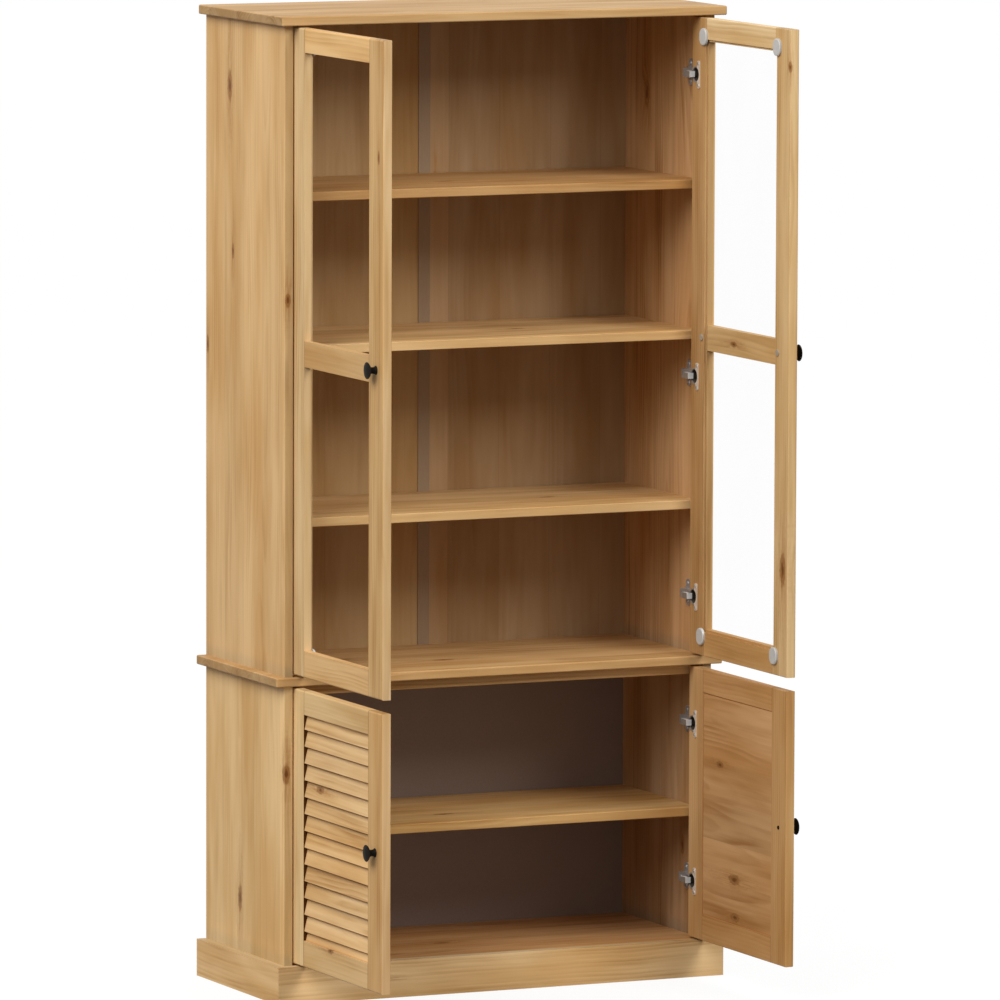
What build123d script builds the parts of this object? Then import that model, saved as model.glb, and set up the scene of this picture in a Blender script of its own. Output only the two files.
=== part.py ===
from build123d import *
import os

# A free-standing pine cabinet in two sections: glazed doors above, louvred doors below.
# Millimetres. X runs to the right, Y to the back, Z up. The origin is on the floor,
# under the middle of the front plinth board. The doors stand open at a right angle.

# Carcass
HEIGHT = 1700.0
CARCASS_WIDTH = 812.0  # over the side panels
CARCASS_DEPTH = 344.0  # front edge to back edge of a side panel
WAIST_HEIGHT = 565.0  # top of the board between the sections
SIDE_THICK = 16.0
TOP_THICK = 16.0
WAIST_THICK = 16.0
SHELF_THICK = 16.0
FLOOR_THICK = 16.0
TOP_SIDE_OVERHANG = 14.0
TOP_FRONT_OVERHANG = 21.0
WAIST_SIDE_OVERHANG = 18.0
WAIST_FRONT_OVERHANG = 8.0
UPPER_SHELF_SHARES = (0.242, 0.508, 0.743)  # shelf tops, in the clear height of their section
LOWER_SHELF_SHARE = 0.475
SHELF_SETBACK = 20.0  # from the front edge of the side panels
HOUSING_DEPTH = 6.0  # shelves, rails and backs run this far into the boards beside them
BOARD_ARRIS = 2.5
SHELF_ARRIS = 1.5
SIDE_ARRIS = 1.2

# Plinth and apron
PLINTH_HEIGHT = 65.0
PLINTH_THICK = 18.0
PLINTH_ARRIS = 2.0
REAR_PLINTH_THICK = 16.0
APRON_HEIGHT = 19.0
APRON_THICK = 16.0

# Back
BACK_THICK = 5.0
BACK_INSET = 13.0  # from the back edge of the side panels
STRIP_WIDTH = 22.0
STRIP_FLANGE = 1.5
STRIP_WEB = 1.5
STRIP_CLEARANCE = 0.5  # to the back edges of the shelves

# Dowels between the side panels and the boards across them
DOWEL_RADIUS = 4.0
DOWEL_DEPTH_SIDE = 20.0
DOWEL_DEPTH_TOP = 10.0
DOWEL_INSET = 50.0  # from the front and back edges of a side panel

# Doors
DOOR_THICK = 17.0
DOOR_SIDE_GAP = 2.5
DOOR_MEETING_GAP = 3.0
DOOR_HEAD_GAP = 3.0
UPPER_DOOR_SILL_GAP = 4.0
LOWER_DOOR_SILL_GAP = 3.0
STILE_WIDTH = 56.5
TOP_RAIL = 41.0
MID_RAIL = 44.0
BOTTOM_RAIL = 46.0
DOOR_ARRIS = 3.0
DOOR_BACK_ARRIS = 1.5
TENON_LENGTH = 25.0
TENON_THICK = 6.0
TENON_FACE = 4.0  # from the outer face of the door
TENON_SHOULDER = 10.0

# Glass and what holds it
GLASS_THICK = 4.0
GLASS_REBATE = 4.0
GLASS_PLAY = 0.2
CLIP_WIDTH = 27.5
CLIP_HEIGHT = 30.0
CLIP_CORNER = 12.5
CLIP_THICK = 4.5
CLIP_ARRIS = 2.0
CLIP_FROM_SIDE = 48.0  # clip centre, from the door's side edges
CLIP_FROM_END = 33.0  # and from its top and bottom edges
BUTTON_RADIUS = 6.0
BUTTON_THICK = 2.0  # clear of the shelf behind it when the door is shut
BUTTON_FROM_SIDE = 43.0
BUTTON_ARRIS = 1.0

# Louvred panel
LOUVRE_PITCH = 29.1
LOUVRE_FIRST = 25.4  # height of the cut-off slat under the top rail
LOUVRE_REVEAL = 1.0  # slat noses behind the door's outer face
LOUVRE_DEPTH = 7.0  # nose to root of a slat
PANEL_RECESS = 1.5  # flat back behind the door's inner face
PANEL_TONGUE_THICK = 5.0
PANEL_TONGUE_LENGTH = 8.0
PANEL_TONGUE_INSET = 1.0  # from the flat back

# Knobs
KNOB_RADIUS = 14.5
KNOB_FOOT_RADIUS = 8.0
KNOB_NECK_RADIUS = 5.5
KNOB_HEIGHT = 19.0
KNOB_CAP = 5.0
KNOB_RIM = 2.0

# Concealed hinges
HINGE_FROM_END = 100.0  # outer hinges, from the ends of the door
MIDDLE_HINGE_SHARE = 0.437  # in the height of the upper door
PIVOT_FROM_EDGE = 7.2  # from the hinge edge of the door
PIVOT_FROM_FACE = 7.2  # from the outer face of the door
PIN_RADIUS = 1.25
PIN_PLAY = 0.04
PIN_LENGTH = 15.0
HOLE_FIT = 0.05  # radial room of a fixed pin or dowel in its hole
EYE_RADIUS = 2.0
CUP_RADIUS = 13.0
CUP_WALL = 0.7
CUP_FROM_EDGE = 3.5
CUP_FLOOR_FROM_FACE = 4.2
CUP_FIT = 0.05
FLANGE_WIDTH = 10.0
FLANGE_HEIGHT = 48.0
FLANGE_THICK = 1.6
FLANGE_RIM = 1.5
FLANGE_CORNER = 3.5
FLANGE_OFFSET = 10.0  # middle of the flange, from the middle of the cup
ARM_THICK = 2.0
TIP_WIDTH = 8.0  # of the hook inside the cup
ARM_WIDTH = 12.0  # of the hook outside the cup
ARM_REACH = 23.0  # the hook's far leg, from the side panel
ARM_RETURN = 22.5  # the hook's near leg, behind the carcass front
ARM_END = 60.0
ARM_BEND = 2.0
CHANNEL_RISE = 12.0  # from the mounting plate
CHANNEL_WIDTH = 16.0
CHANNEL_WALL = 1.5
PLATE_THICK = 4.0
PLATE_END = 66.0  # behind the carcass front
PLATE_LENGTH = 36.0
PLATE_HEIGHT = 18.0
WING_LENGTH = 18.0
WING_OFFSET = 9.0  # behind the middle of the plate
WING_HEIGHT = 46.0
WING_THICK = 2.0
WING_CORNER = 6.0

# Places that follow from the sizes above
FRONT = PLINTH_THICK / 2  # front edges of the side panels
REAR = FRONT + CARCASS_DEPTH
OUTSIDE = CARCASS_WIDTH / 2
INSIDE = OUTSIDE - SIDE_THICK
TOP_UNDER = HEIGHT - TOP_THICK
WAIST_UNDER = WAIST_HEIGHT - WAIST_THICK
FLOOR_UNDER = PLINTH_HEIGHT - FLOOR_THICK
UPPER_SHELF_TOPS = [
    WAIST_HEIGHT + share * (TOP_UNDER - WAIST_HEIGHT) for share in UPPER_SHELF_SHARES
]
LOWER_SHELF_TOP = PLINTH_HEIGHT + LOWER_SHELF_SHARE * (WAIST_UNDER - PLINTH_HEIGHT)
BACK_FACE = REAR - BACK_INSET - BACK_THICK
SHELF_FRONT = FRONT + SHELF_SETBACK
SHELF_BACK = BACK_FACE - STRIP_FLANGE - STRIP_CLEARANCE
DOOR_WIDTH = INSIDE - DOOR_SIDE_GAP - DOOR_MEETING_GAP / 2
DOOR_LEFT = DOOR_SIDE_GAP - INSIDE
DOOR_RIGHT = DOOR_LEFT + DOOR_WIDTH
DOOR_BACK = FRONT + DOOR_THICK
UPPER_DOOR = (WAIST_HEIGHT + UPPER_DOOR_SILL_GAP, TOP_UNDER - DOOR_HEAD_GAP)
LOWER_DOOR = (PLINTH_HEIGHT + LOWER_DOOR_SILL_GAP, WAIST_UNDER - DOOR_HEAD_GAP)
OPENING_LEFT = DOOR_LEFT + STILE_WIDTH
OPENING_RIGHT = DOOR_RIGHT - STILE_WIDTH
PIVOT_X = DOOR_LEFT + PIVOT_FROM_EDGE
PIVOT_Y = FRONT + PIVOT_FROM_FACE
CUP_X = DOOR_LEFT + CUP_FROM_EDGE + CUP_RADIUS
UPPER_HINGES = (
    UPPER_DOOR[0] + HINGE_FROM_END,
    UPPER_DOOR[0] + MIDDLE_HINGE_SHARE * (UPPER_DOOR[1] - UPPER_DOOR[0]),
    UPPER_DOOR[1] - HINGE_FROM_END,
)
LOWER_HINGES = (LOWER_DOOR[0] + HINGE_FROM_END, LOWER_DOOR[1] - HINGE_FROM_END)
UP = Vector(0, 0, 1)
NEAR = 0.01  # how close an edge must be to a plane to count as lying in it


def block(x, y, z):
    """A box from pairs of limits along X, Y and Z."""
    centre = [(low + high) / 2 for low, high in (x, y, z)]
    return Pos(*centre) * Box(x[1] - x[0], y[1] - y[0], z[1] - z[0])


def edges_at(solid, axis, place, along=None):
    """The straight edges that lie in one plane across an axis, of one direction if given."""
    edges = solid if isinstance(solid, ShapeList) else solid.edges()
    found = edges.filter_by_position(axis, place - NEAR, place + NEAR)
    return found.filter_by(along) if along else found


def rod(start, direction, radius, length):
    """A round bar from a point along a direction."""
    return extrude(Plane(start, z_dir=direction) * Circle(radius), amount=length)


def mirrored(shape):
    """The same piece for the other side of the cabinet."""
    return mirror(shape, about=Plane.YZ)


def group(shapes):
    """Separate solids that share one node."""
    return Compound(children=[solid for shape in shapes for solid in shape.solids()])


# Carcass boards


def overhanging_board(z, side_overhang, front_overhang):
    """A board across the side panels, rounded on every edge but the back ones."""
    reach = OUTSIDE + side_overhang
    board = block((-reach, reach), (FRONT - front_overhang, REAR), z)
    behind = edges_at(board, Axis.Y, REAR)
    return fillet([edge for edge in board.edges() if edge not in behind], BOARD_ARRIS)


def back_groove(z):
    """The slot that holds a back panel, across both side panels and past them."""
    reach = INSIDE + HOUSING_DEPTH
    return block((-reach, reach), (BACK_FACE, BACK_FACE + BACK_THICK), z)


def dowel_places():
    """Where the dowels stand in the left side panel."""
    x = SIDE_THICK / 2 - OUTSIDE
    ends = FRONT + DOWEL_INSET, REAR - DOWEL_INSET
    return [(x, y) for y in (ends[0], (ends[0] + ends[1]) / 2, ends[1])]


def dowels(room=0.0):
    """Short dowels under the top board, and long ones right through the waist board."""
    head = TOP_UNDER - DOWEL_DEPTH_SIDE
    foot = WAIST_UNDER - DOWEL_DEPTH_SIDE
    radius = DOWEL_RADIUS + room
    made = []
    for x, y in dowel_places():
        made.append(rod((x, y, head), UP, radius, DOWEL_DEPTH_SIDE + DOWEL_DEPTH_TOP))
        made.append(rod((x, y, foot), UP, radius, WAIST_THICK + 2 * DOWEL_DEPTH_SIDE))
    return group(made + [mirrored(dowel) for dowel in made])


def housed_board(z, y, arris):
    """A shelf whose ends run into the side panels, rounded along its front."""
    reach = INSIDE + HOUSING_DEPTH
    board = block((-reach, reach), y, z)
    return fillet(edges_at(board, Axis.Y, y[0], Axis.X), arris)


def shelf(top):
    return housed_board((top - SHELF_THICK, top), (SHELF_FRONT, SHELF_BACK), SHELF_ARRIS)


def floor_board():
    reach = INSIDE + HOUSING_DEPTH
    return block((-reach, reach), (FRONT, BACK_FACE), (FLOOR_UNDER, PLINTH_HEIGHT))


def apron_rail():
    """The rail that the lower doors stop against, under the waist board."""
    z = WAIST_UNDER - APRON_HEIGHT, WAIST_UNDER
    return housed_board(z, (SHELF_FRONT, SHELF_FRONT + APRON_THICK), SHELF_ARRIS)


def side_panel(z, housed):
    """A left side panel, cut for the pieces housed in it."""
    panel = block((-OUTSIDE, -INSIDE), (FRONT, REAR), z)
    panel = fillet(edges_at(panel, Axis.Y, FRONT, Axis.Z), SIDE_ARRIS)
    for piece in housed:
        panel -= piece
    return panel


def plinth_board(corners):
    """A plinth board from its plan, rounded along its outer top edge."""
    board = extrude(make_face(Polyline(*corners, close=True)), amount=PLINTH_HEIGHT)
    top = edges_at(board, Axis.Z, PLINTH_HEIGHT)
    outer = top.sort_by(lambda edge: edge.center().Y + edge.center().X)[0]
    return fillet(outer, PLINTH_ARRIS)


def plinth():
    """Front and side boards mitred at the corners, and a plain board at the rear."""
    reach = OUTSIDE + PLINTH_THICK
    nose = FRONT - PLINTH_THICK
    front = plinth_board([(-reach, nose), (reach, nose), (OUTSIDE, FRONT), (-OUTSIDE, FRONT)])
    left = plinth_board([(-reach, nose), (-OUTSIDE, FRONT), (-OUTSIDE, REAR), (-reach, REAR)])
    rear = block((-INSIDE, INSIDE), (BACK_FACE - REAR_PLINTH_THICK, BACK_FACE), (0, FLOOR_UNDER))
    return {
        "plinth_front": front,
        "plinth_left": left,
        "plinth_right": mirrored(left),
        "plinth_rear": rear,
    }


def backs():
    """Two upper panels joined by a strip of H section, and one lower panel."""
    upper = WAIST_HEIGHT - HOUSING_DEPTH, TOP_UNDER + HOUSING_DEPTH
    reach = INSIDE + HOUSING_DEPTH
    y = BACK_FACE, BACK_FACE + BACK_THICK
    left = block((-reach, -STRIP_WEB / 2), y, upper)
    between = WAIST_HEIGHT, TOP_UNDER
    strip = block((-STRIP_WEB / 2, STRIP_WEB / 2), y, between)
    for face in (y[0] - STRIP_FLANGE, y[1]):
        strip += block((-STRIP_WIDTH / 2, STRIP_WIDTH / 2), (face, face + STRIP_FLANGE), between)
    return {
        "upper_back_left": left,
        "upper_back_right": mirrored(left),
        "back_joint_strip": strip,
        "lower_back": block((-reach, reach), y, (FLOOR_UNDER, WAIST_UNDER + HOUSING_DEPTH)),
    }


def carcass():
    """Every fixed board, each cut for the pieces that it holds."""
    pegs = dowels(HOLE_FIT)
    nodes = {f"upper_shelf_{i}": shelf(top) for i, top in enumerate(UPPER_SHELF_TOPS, 1)}
    upper_housed = list(nodes.values()) + [back_groove((WAIST_HEIGHT, TOP_UNDER)), pegs]
    nodes["lower_shelf"] = shelf(LOWER_SHELF_TOP)
    nodes["floor_board"] = floor_board()
    nodes["apron_rail"] = apron_rail()
    lower_housed = [nodes[name] for name in ("lower_shelf", "floor_board", "apron_rail")]
    lower_housed += [back_groove((FLOOR_UNDER, WAIST_UNDER)), pegs]
    upper_side = side_panel((WAIST_HEIGHT, TOP_UNDER), upper_housed)
    lower_side = side_panel((0, WAIST_UNDER), lower_housed)
    top = overhanging_board((TOP_UNDER, HEIGHT), TOP_SIDE_OVERHANG, TOP_FRONT_OVERHANG)
    waist = overhanging_board(
        (WAIST_UNDER, WAIST_HEIGHT), WAIST_SIDE_OVERHANG, WAIST_FRONT_OVERHANG
    )
    head_groove = back_groove((TOP_UNDER, TOP_UNDER + HOUSING_DEPTH))
    sill_groove = back_groove((WAIST_HEIGHT - HOUSING_DEPTH, WAIST_HEIGHT))
    lower_groove = back_groove((WAIST_UNDER, WAIST_UNDER + HOUSING_DEPTH))
    nodes["top_board"] = top - head_groove - pegs
    nodes["waist_board"] = waist - sill_groove - lower_groove - pegs
    nodes["frame_dowels"] = dowels()
    for name, side in (("upper_side", upper_side), ("lower_side", lower_side)):
        nodes[f"{name}_left"] = side
        nodes[f"{name}_right"] = mirrored(side)
    return nodes | plinth() | backs() | hinge_hardware()


# Concealed hinges, on the carcass side


def hinge_plate(z):
    """A mounting plate with two wings, flat on the side panel."""
    middle = FRONT + PLATE_END - PLATE_LENGTH / 2
    wing = middle + WING_OFFSET
    body = block(
        (-INSIDE, PLATE_THICK - INSIDE),
        (middle - PLATE_LENGTH / 2, middle + PLATE_LENGTH / 2),
        (z - PLATE_HEIGHT / 2, z + PLATE_HEIGHT / 2),
    )
    wings = block(
        (-INSIDE, WING_THICK - INSIDE),
        (wing - WING_LENGTH / 2, wing + WING_LENGTH / 2),
        (z - WING_HEIGHT / 2, z + WING_HEIGHT / 2),
    )
    return body + fillet(wings.edges().filter_by(Axis.X), WING_CORNER)


def strip(points, width, z):
    """A bent strip of the arm's thickness, on edge about one height."""
    line = FilletPolyline(*points, radius=ARM_BEND)
    return extrude(Pos(0, 0, z - width / 2) * trace(line, ARM_THICK), amount=width)


def hinge_arm(z):
    """A hooked strip from the pin in the door's cup, on a channel that stands on its plate."""
    far = ARM_REACH - INSIDE
    seat = PLATE_THICK - INSIDE
    top = seat + CHANNEL_RISE
    bend = FRONT + ARM_RETURN
    end = FRONT + ARM_END
    path = [(far, PIVOT_Y), (far, bend), (top - CHANNEL_WALL, bend)]
    arm = strip([(PIVOT_X, PIVOT_Y)] + path, TIP_WIDTH, z)
    arm += strip([(far, PIVOT_Y + 2 * ARM_BEND)] + path[1:], ARM_WIDTH, z)
    front = bend - ARM_THICK / 2
    half = CHANNEL_WIDTH / 2
    inner = half - CHANNEL_WALL
    channel = block((seat, top), (front, end), (z - half, z + half))
    hollow = block((seat, top - CHANNEL_WALL), (front + ARM_THICK, end), (z - inner, z + inner))
    foot = Vector(PIVOT_X, PIVOT_Y, z - TIP_WIDTH / 2)
    eye = rod(foot, UP, EYE_RADIUS, TIP_WIDTH)
    return arm + eye + (channel - hollow) - rod(foot, UP, PIN_RADIUS + PIN_PLAY, TIP_WIDTH)


def hinge_hardware():
    """The arms and mounting plates of both sides."""
    levels = UPPER_HINGES + LOWER_HINGES
    nodes = {
        "hinge_arms": [hinge_arm(z) for z in levels],
        "hinge_plates": [hinge_plate(z) for z in levels],
    }
    return {name: group(made + [mirrored(m) for m in made]) for name, made in nodes.items()}


# Doors, modelled shut on the left-hand side


def hinge_cup(z):
    """A pressed cup with its flange, bored for its pin."""
    floor = Plane((CUP_X, FRONT + CUP_FLOOR_FROM_FACE, z), z_dir=(0, 1, 0))
    depth = DOOR_THICK - CUP_FLOOR_FROM_FACE
    cup = extrude(floor * Circle(CUP_RADIUS), amount=depth)
    face = Plane((CUP_X, DOOR_BACK, z), x_dir=(1, 0, 0), z_dir=(0, 1, 0))
    wings = Pos(FLANGE_OFFSET, 0) * RectangleRounded(FLANGE_WIDTH, FLANGE_HEIGHT, FLANGE_CORNER)
    outline = Circle(CUP_RADIUS + FLANGE_RIM) + wings
    cup += extrude(face * outline, amount=FLANGE_THICK)
    inside = floor.offset(CUP_WALL) * Circle(CUP_RADIUS - CUP_WALL)
    cup -= extrude(inside, amount=DOOR_THICK)
    return cup - hinge_pin(z, HOLE_FIT)


def hinge_pin(z, room=0.0):
    return rod((PIVOT_X, PIVOT_Y, z - PIN_LENGTH / 2), UP, PIN_RADIUS + room, PIN_LENGTH)


def cup_bore(z):
    """The hole in the stile for a cup."""
    floor = Vector(CUP_X, FRONT + CUP_FLOOR_FROM_FACE, z)
    depth = DOOR_THICK - CUP_FLOOR_FROM_FACE
    return rod(floor, (0, 1, 0), CUP_RADIUS + CUP_FIT, depth)


def knob(z):
    """A turned mushroom knob on the free stile."""
    crown = KNOB_HEIGHT - KNOB_CAP
    rim = KNOB_RADIUS, crown + KNOB_RIM
    stem = Polyline((0, KNOB_HEIGHT), (0, 0), (KNOB_FOOT_RADIUS, 0))
    neck = KNOB_NECK_RADIUS, crown / 2
    waist = ThreePointArc((KNOB_FOOT_RADIUS, 0), neck, (KNOB_RADIUS - KNOB_RIM, crown))
    under = Line((KNOB_RADIUS - KNOB_RIM, crown), rim)
    rise = KNOB_CAP - KNOB_RIM
    dome_radius = (KNOB_RADIUS**2 + rise**2) / (2 * rise)
    dome = RadiusArc(rim, (0, KNOB_HEIGHT), -dome_radius)
    outline = make_face(stem.edges() + waist.edges() + under.edges() + dome.edges())
    x = DOOR_RIGHT - STILE_WIDTH / 2
    return Pos(x, FRONT, z) * Rot(180, 0, 0) * revolve(outline, Axis.Y)


def stiles(z):
    """The two uprights of a door, rounded on the door's outer edges."""
    made = []
    for x, edge in (
        ((DOOR_LEFT, OPENING_LEFT), DOOR_LEFT),
        ((OPENING_RIGHT, DOOR_RIGHT), DOOR_RIGHT),
    ):
        bar = block(x, (FRONT, DOOR_BACK), z)
        for y, radius in ((FRONT, DOOR_ARRIS), (DOOR_BACK, DOOR_BACK_ARRIS)):
            on_face = edges_at(bar, Axis.Y, y)
            across = on_face.filter_by(Axis.X)
            upright = edges_at(on_face.filter_by(Axis.Z), Axis.X, edge)
            bar = fillet(across + upright, radius)
        made.append(bar)
    return made


def rail(z, rounded=None):
    """A cross member with a tenon at each end, rounded along the door's top or bottom."""
    bar = block((OPENING_LEFT, OPENING_RIGHT), (FRONT, DOOR_BACK), z)
    if rounded is not None:
        for y, radius in ((FRONT, DOOR_ARRIS), (DOOR_BACK, DOOR_BACK_ARRIS)):
            bar = fillet(edges_at(edges_at(bar, Axis.Y, y, Axis.X), Axis.Z, rounded), radius)
    tenon = block(
        (OPENING_LEFT - TENON_LENGTH, OPENING_RIGHT + TENON_LENGTH),
        (FRONT + TENON_FACE, FRONT + TENON_FACE + TENON_THICK),
        (z[0] + TENON_SHOULDER, z[1] - TENON_SHOULDER),
    )
    return bar + tenon


def door_frame(z, hinges, rails, cut):
    """Stiles, rails and fittings that both kinds of door share, with one cut for the panel."""
    hinge_stile, free_stile = stiles(z)
    for bar in rails.values():
        hinge_stile -= bar
        free_stile -= bar
    for level in hinges:
        hinge_stile -= cup_bore(level)
    nodes = {"hinge_stile": hinge_stile - cut, "free_stile": free_stile - cut}
    nodes |= {name: bar - cut for name, bar in rails.items()}
    nodes["knob"] = knob((z[0] + z[1]) / 2)
    nodes["hinge_cups"] = group([make(level) for level in hinges for make in (hinge_cup, hinge_pin)])
    return nodes


def glazed_door():
    """Three rails, one pane in a rebate at the back, and the clips that hold it."""
    z = UPPER_DOOR
    middle = (z[0] + z[1]) / 2
    rails = {
        "top_rail": rail((z[1] - TOP_RAIL, z[1]), z[1]),
        "mid_rail": rail((middle - MID_RAIL / 2, middle + MID_RAIL / 2)),
        "bottom_rail": rail((z[0], z[0] + BOTTOM_RAIL), z[0]),
    }
    x = OPENING_LEFT - GLASS_REBATE, OPENING_RIGHT + GLASS_REBATE
    y = DOOR_BACK - GLASS_THICK, DOOR_BACK
    height = z[0] + BOTTOM_RAIL - GLASS_REBATE, z[1] - TOP_RAIL + GLASS_REBATE
    nodes = door_frame(z, UPPER_HINGES, rails, block(x, y, height))
    nodes["glass"] = block(
        (x[0] + GLASS_PLAY, x[1] - GLASS_PLAY), y, (height[0], height[1] - GLASS_PLAY)
    )
    nodes["glass_clips"] = group(glass_clips(z))
    return nodes


def glass_clips(z):
    """A rounded pad over each corner of the pane, and a button at each side of its middle."""
    sides = DOOR_LEFT + CLIP_FROM_SIDE, DOOR_RIGHT - CLIP_FROM_SIDE
    ends = z[0] + CLIP_FROM_END, z[1] - CLIP_FROM_END
    middle = (z[0] + z[1]) / 2
    made = []
    for x in sides:
        for level in ends:
            face = Plane((x, DOOR_BACK, level), x_dir=(1, 0, 0), z_dir=(0, 1, 0))
            outline = RectangleRounded(CLIP_WIDTH, CLIP_HEIGHT, CLIP_CORNER)
            pad = extrude(face * outline, amount=CLIP_THICK)
            made.append(fillet(edges_at(pad, Axis.Y, DOOR_BACK + CLIP_THICK), CLIP_ARRIS))
    for x in (DOOR_LEFT + BUTTON_FROM_SIDE, DOOR_RIGHT - BUTTON_FROM_SIDE):
        disc = rod((x, DOOR_BACK, middle), (0, 1, 0), BUTTON_RADIUS, BUTTON_THICK)
        made.append(fillet(edges_at(disc, Axis.Y, DOOR_BACK + BUTTON_THICK), BUTTON_ARRIS))
    return made


def louvre_profile(low, high):
    """Corners of the slats in section, from the top down, each leaning out at its foot."""
    nose = FRONT + LOUVRE_REVEAL
    slope = LOUVRE_DEPTH / LOUVRE_PITCH
    corners = []
    head, foot = high, high - LOUVRE_FIRST
    while head > low:
        corners.append((nose + slope * (head - foot), head))
        cut = max(foot, low)
        corners.append((nose + slope * (cut - foot), cut))
        head, foot = foot, foot - LOUVRE_PITCH
    return corners


def louvred_door():
    """Two rails and a panel with a saw-tooth front, tongued into the frame all round."""
    z = LOWER_DOOR
    rails = {
        "top_rail": rail((z[1] - TOP_RAIL, z[1]), z[1]),
        "bottom_rail": rail((z[0], z[0] + BOTTOM_RAIL), z[0]),
    }
    low, high = z[0] + BOTTOM_RAIL, z[1] - TOP_RAIL
    back = DOOR_BACK - PANEL_RECESS
    reach = PANEL_TONGUE_LENGTH
    tongue = block(
        (OPENING_LEFT - reach, OPENING_RIGHT + reach),
        (back - PANEL_TONGUE_INSET - PANEL_TONGUE_THICK, back - PANEL_TONGUE_INSET),
        (low - reach, high + reach),
    )
    section = make_face(Polyline((back, high), *louvre_profile(low, high), (back, low), close=True))
    across = Plane((OPENING_LEFT, 0, 0), x_dir=(0, 1, 0), z_dir=(1, 0, 0))
    panel = extrude(across * section, amount=OPENING_RIGHT - OPENING_LEFT) + tongue
    nodes = door_frame(z, LOWER_HINGES, rails, tongue)
    nodes["louvre_panel"] = panel
    return nodes


def opened(shape):
    """A left-hand door piece turned about its hinge pins, from shut to square open."""
    return shape.rotate(Axis((PIVOT_X, PIVOT_Y, 0), (0, 0, 1)), -90)


def main():
    nodes = carcass()
    for section, door in (("upper", glazed_door()), ("lower", louvred_door())):
        for name, shape in door.items():
            right = mirrored(opened(shape))
            nodes[f"{section}_right_{name}"] = right
            nodes[f"{section}_left_{name}"] = mirrored(right)
    os.makedirs("parts", exist_ok=True)
    for name, shape in nodes.items():
        export_step(shape, f"parts/{name}.step")
    print(len(nodes), "nodes")


main()
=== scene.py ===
import math
import random

import bpy
from mathutils import Matrix, Vector


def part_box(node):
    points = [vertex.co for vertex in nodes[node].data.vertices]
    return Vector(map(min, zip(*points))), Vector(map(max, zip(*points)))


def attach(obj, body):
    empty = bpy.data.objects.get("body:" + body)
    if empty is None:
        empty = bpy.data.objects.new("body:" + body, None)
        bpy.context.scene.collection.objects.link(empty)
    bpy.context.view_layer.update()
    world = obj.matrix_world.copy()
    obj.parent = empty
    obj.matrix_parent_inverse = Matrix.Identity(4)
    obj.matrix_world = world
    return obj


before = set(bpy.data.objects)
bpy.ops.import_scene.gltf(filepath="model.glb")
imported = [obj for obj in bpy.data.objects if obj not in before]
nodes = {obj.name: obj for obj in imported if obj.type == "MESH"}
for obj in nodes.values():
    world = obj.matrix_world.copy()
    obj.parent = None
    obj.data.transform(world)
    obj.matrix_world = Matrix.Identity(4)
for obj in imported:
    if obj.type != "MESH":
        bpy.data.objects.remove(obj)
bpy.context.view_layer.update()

# Camera, fitted to the photograph
CAMERA_PLACE = (-7.2994, -15.9734, 2.8145)
CAMERA_YAW = 24.545
CAMERA_PITCH = 6.367
CAMERA_ROLL = 0.188
CAMERA_LENS = 368.44
CAMERA_REACH = 200.0
SENSOR = 36.0

# Light
WHITE = (1.0, 1.0, 1.0)
SKY = 0.4
KEY_PLACE = (-5.5, -3.0, 5.8)
KEY_POWER = 575.0
KEY_SIZE = 5.5
FRONT_PLACE = (2.4, -6.2, 5.3)
FRONT_POWER = 305.0
FRONT_SIZE = 3.0
LIGHT_AIM = (0.0, 0.0, 0.8)
FLOOR_RADIUS = 30.0
FLOOR_GREY = 0.06
FLOOR_GLOW = 0.9
FLOOR_SIDES = 96
FLOOR_ROUGHNESS = 0.9

# Pine, as colours of the wood in plain light
EARLY_WOOD = (0.700, 0.446, 0.197)
LATE_WOOD = (0.450, 0.238, 0.080)
KNOT_HEART = (0.150, 0.056, 0.017)
KNOT_HALO = (0.380, 0.175, 0.052)
PALE_TINT = (1.10, 1.13, 1.19)
WARM_TINT = (0.89, 0.80, 0.66)
# The colour of dark joints, which also paints shade in the recess beside the slats; then the painted
# shade under the slats' noses and along the edges of the louvred panels
JOINT_AND_PAINTED_SHADE = (0.10, 0.05, 0.02)
PAINTED_HOLLOW_SHADE = (0.55, 0.27, 0.03)
RING_SPACING = 0.0075
SIDE_STRIP = 0.083
SHELF_STRIP = 0.074
BACK_STRIP = 0.098
PANEL_STRIP = 0.068

# How strong the marks of the wood are, and the painted shade along the edges of the louvred panels
SIDE_CONTRASTS = {"left": (0.7, 0.55), "right": (1.2, 0.8)}
BACK_CONTRAST = 0.45
PANEL_CONTRAST = 1.3
STRIP_VARIETY = 0.18
END_GRAIN_DARK = 0.24
GLUE_LINE_DARK = 0.11
SHOULDER_DARK = 0.58
# Painted shade along the sides and, darker, under the head of each louvred panel, where its frame
# shades it
PANEL_SIDE_PAINTED_SHADE = 0.4
PANEL_HEAD_PAINTED_SHADE = 0.9
WOOD_SHINE = 0.07

# Knots: the radii of those made by chance, how far they stay from a board's ends, and how many
# times longer than wide every knot is
KNOT_RADII = (0.0035, 0.008)
KNOT_MARGIN = 0.03
KNOT_STRETCH = 2.6

# The louvred panels and the joints of the doors, as the part has them
SLAT_PITCH = 0.0291
SLAT_FOOT = 0.4796
SLAT_ROOT = 0.374
TENON = 0.025

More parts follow.
